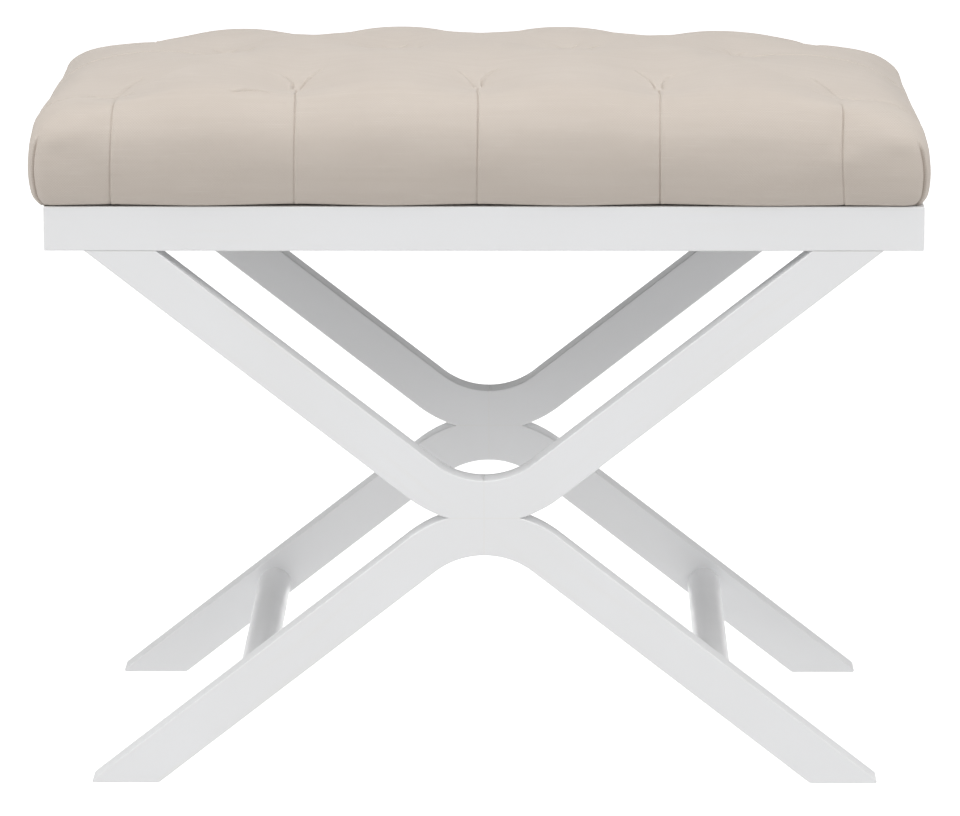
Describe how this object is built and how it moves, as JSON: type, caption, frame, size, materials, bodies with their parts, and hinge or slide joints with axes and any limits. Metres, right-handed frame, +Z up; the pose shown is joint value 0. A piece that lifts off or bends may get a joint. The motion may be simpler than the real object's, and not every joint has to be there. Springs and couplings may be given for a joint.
{
  "type": "upholstered bench",
  "caption": "Low bench with a deep-tufted linen cushion on a white wooden seat frame, carried by crossed front and back frames joined by round stretchers.",
  "frame": {"origin": "Centre of the footprint, on the floor: the middle of the object's box in X and Y, at its lowest point.", "axes": "+X along the length of the seat, to the right seen from the front; +Y to the back; +Z up. The front faces -Y."},
  "size_m": [0.616, 0.396, 0.494],
  "materials": {
    "painted_wood": "smooth semi-gloss white paint",
    "bare_wood": "bare hardwood",
    "plywood": "bare plywood",
    "zinc_steel": "zinc plated",
    "foam": "polyurethane foam",
    "wadding": "polyester fibre",
    "linen": "plain weave linen, natural beige",
    "twine": "waxed thread",
    "dust_cloth": "black non-woven cloth"
  },
  "bodies": {
    "root": {"front_left_arm": "painted_wood", "front_right_arm": "painted_wood", "back_left_arm": "painted_wood", "back_right_arm": "painted_wood", "front_left_leg": "painted_wood", "front_right_leg": "painted_wood", "back_left_leg": "painted_wood", "back_right_leg": "painted_wood", "left_stretcher": "painted_wood", "right_stretcher": "painted_wood", "front_rail": "painted_wood", "back_rail": "painted_wood", "left_rail": "painted_wood", "right_rail": "painted_wood", "front_left_block": "bare_wood", "front_right_block": "bare_wood", "back_left_block": "bare_wood", "back_right_block": "bare_wood", "bend_dowels": "bare_wood", "seam_dowels": "bare_wood", "arm_dowels": "bare_wood", "rail_dowels": "bare_wood", "block_screws": "zinc_steel", "seat_screws": "zinc_steel", "seat_board": "plywood", "seat_foam": "foam", "seat_wadding": "wadding", "seat_cover": "linen", "tuft_twines": "twine", "twine_washers": "zinc_steel", "cover_staples": "zinc_steel", "dust_cover": "dust_cloth"}
  },
  "joints": []
}
